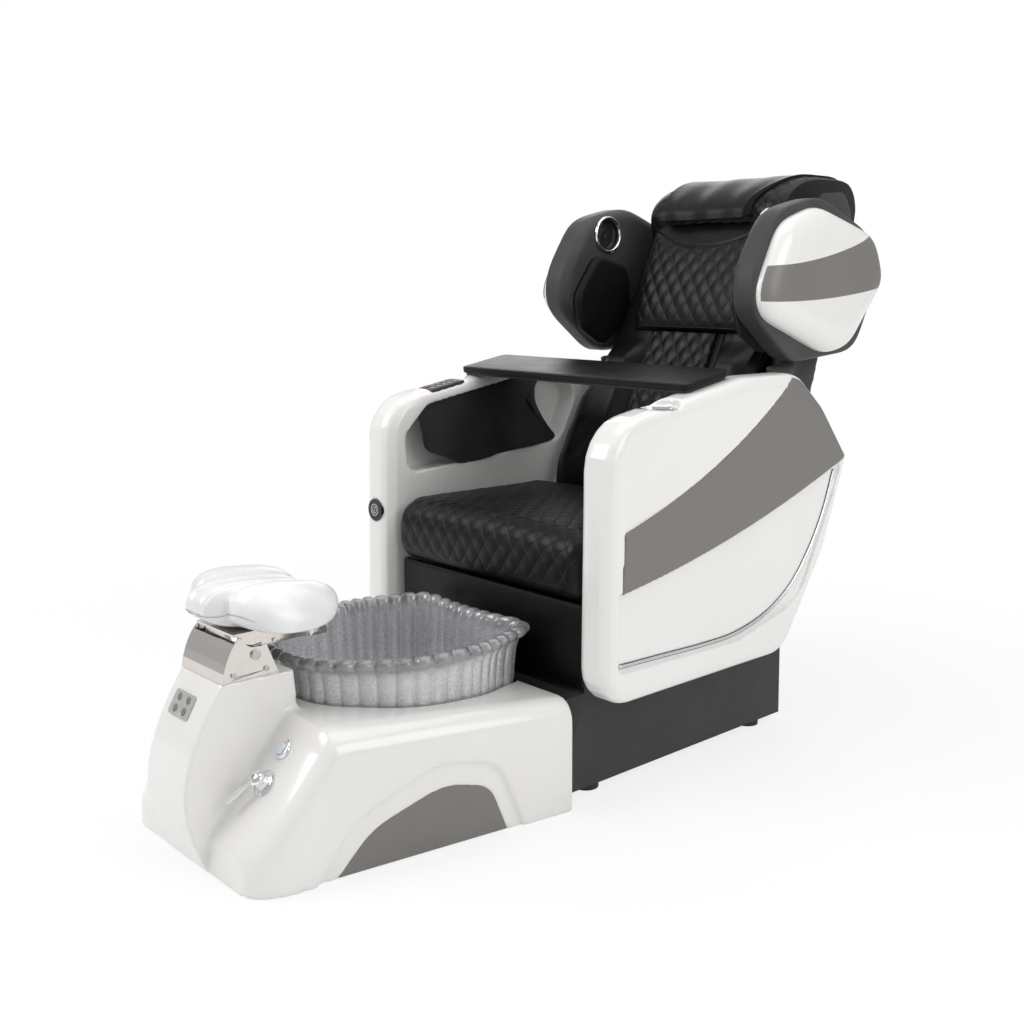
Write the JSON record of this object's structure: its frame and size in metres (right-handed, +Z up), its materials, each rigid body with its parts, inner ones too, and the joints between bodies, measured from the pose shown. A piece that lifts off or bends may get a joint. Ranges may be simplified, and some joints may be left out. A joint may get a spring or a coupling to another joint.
{
  "type": "pedicure spa chair",
  "caption": "Salon pedicure spa chair with a foot bath, tilting footrest, sliding seat, reclining winged back, arm shells and a swinging tray.",
  "frame": {"origin": "on the floor, on the symmetry plane, at the joint between the foot bath and the seat base", "axes": "+X to the sitter's left, +Y from the foot bath towards the back, +Z up"},
  "size_m": [0.8, 1.8756, 1.318],
  "materials": {
    "gelcoat": "gloss white gel coat",
    "satin_grey": "satin",
    "glitter": "clear resin with silver glitter",
    "chrome": "mirror",
    "stainless": "polished",
    "white_pad": "soft gloss skin",
    "pearl": "gloss",
    "silver_plastic": "satin silver",
    "charcoal": "matte",
    "rubber_black": "matte",
    "black_trim": "satin",
    "grey_keys": "satin",
    "brass": "turned",
    "dark_steel": "satin black",
    "zinc_steel": "zinc plated",
    "black_leather": "grained synthetic leather",
    "grey_leather": "grained synthetic leather",
    "black_fabric": "knitted"
  },
  "bodies": {
    "base": {"tub_body": "gelcoat", "arch_panels": "satin_grey", "bowl": "glitter", "drain_fitting": "chrome", "footrest_bracket": "stainless", "bracket_bolts": "stainless", "footrest_pin": "stainless", "tap_base": "chrome", "jet_bezel": "chrome", "key_plate": "silver_plastic", "base_box": "charcoal", "box_feet": "rubber_black", "apron": "black_trim", "rear_ports": "brass", "arm_mounts": "dark_steel", "arm_a": "gelcoat", "arm_b": "gelcoat", "arm_stripes": "satin_grey", "arm_trims": "chrome", "arm_curtains": "black_fabric", "cup_insert": "chrome", "remote_panel": "black_trim", "remote_keys": "grey_keys", "power_bezel": "black_trim", "seat_rails": "zinc_steel"},
    "seat": {"seat_frame": "dark_steel", "seat_cushion": "black_leather", "recline_pins": "zinc_steel"},
    "back": {"back_hinge": "dark_steel", "back_shell": "grey_leather", "back_cushion": "black_leather", "back_panel": "black_leather", "head_pillow": "black_leather", "head_flap": "black_leather", "wing_a": "grey_leather", "wing_b": "grey_leather", "wing_shell_a": "gelcoat", "wing_shell_b": "gelcoat", "wing_stripes": "satin_grey", "speakers": "chrome", "airbags": "black_leather", "wing_mounts": "dark_steel"},
    "tray": {"tray_board": "black_trim", "tray_pad": "black_leather", "tray_pivot": "zinc_steel"},
    "footrest": {"footrest_carrier": "stainless", "footrest_pad": "white_pad"},
    "tap_head": {"tap_cap": "chrome"},
    "tap_handle": {"tap_lever": "chrome"},
    "jet_button": {"jet_button": "pearl"},
    "key_1": {"key_1": "silver_plastic"},
    "key_2": {"key_2": "silver_plastic"},
    "key_3": {"key_3": "silver_plastic"},
    "key_4": {"key_4": "silver_plastic"},
    "power_button": {"power_button": "black_trim"}
  },
  "joints": [
    {"name": "seat_slide", "type": "slide", "parent": "base", "child": "seat", "axis": [0, -1, 0], "range_m": [0, 0.11]},
    {"name": "back_recline", "type": "hinge", "parent": "seat", "child": "back", "pos_m": [0, 0.65, 0.47], "axis": [-1, 0, 0], "range_deg": [0, 30]},
    {"name": "tray_swivel", "type": "hinge", "parent": "base", "child": "tray", "pos_m": [0.345, 0.312, 0.82013], "axis": [0, -0.1781, 0.984], "range_deg": [0, 95]},
    {"name": "footrest_tilt", "type": "hinge", "parent": "base", "child": "footrest", "pos_m": [0, -0.56, 0.3788], "axis": [1, 0, 0], "range_deg": [-4, 10]},
    {"name": "tap_turn", "type": "hinge", "parent": "base", "child": "tap_head", "pos_m": [0.137, -0.582, 0.16303], "axis": [0, -0.7771, 0.6293], "range_deg": [-18, 60]},
    {"name": "tap_lift", "type": "hinge", "parent": "tap_head", "child": "tap_handle", "pos_m": [0.13428, -0.60293, 0.1731], "axis": [-0.891, 0.2857, 0.3528], "range_deg": [0, 20]},
    {"name": "jet_push", "type": "slide", "parent": "base", "child": "jet_button", "axis": [0, 0.7771, -0.6293], "range_m": [0, 0.004], "stiffness_N_per_m": 500, "springref_m": -0.002},
    {"name": "power_push", "type": "slide", "parent": "base", "child": "power_button", "axis": [0, 1, 0], "range_m": [0, 0.003], "stiffness_N_per_m": 500, "springref_m": -0.002},
    {"name": "key_1_push", "type": "slide", "parent": "base", "child": "key_1", "axis": [0, 0.8746, -0.4849], "range_m": [0, 0.0015], "stiffness_N_per_m": 500, "springref_m": -0.002},
    {"name": "key_2_push", "type": "slide", "parent": "base", "child": "key_2", "axis": [0, 0.8746, -0.4849], "range_m": [0, 0.0015], "stiffness_N_per_m": 500, "springref_m": -0.002},
    {"name": "key_3_push", "type": "slide", "parent": "base", "child": "key_3", "axis": [0, 0.8746, -0.4849], "range_m": [0, 0.0015], "stiffness_N_per_m": 500, "springref_m": -0.002},
    {"name": "key_4_push", "type": "slide", "parent": "base", "child": "key_4", "axis": [0, 0.8746, -0.4849], "range_m": [0, 0.0015], "stiffness_N_per_m": 500, "springref_m": -0.002}
  ]
}
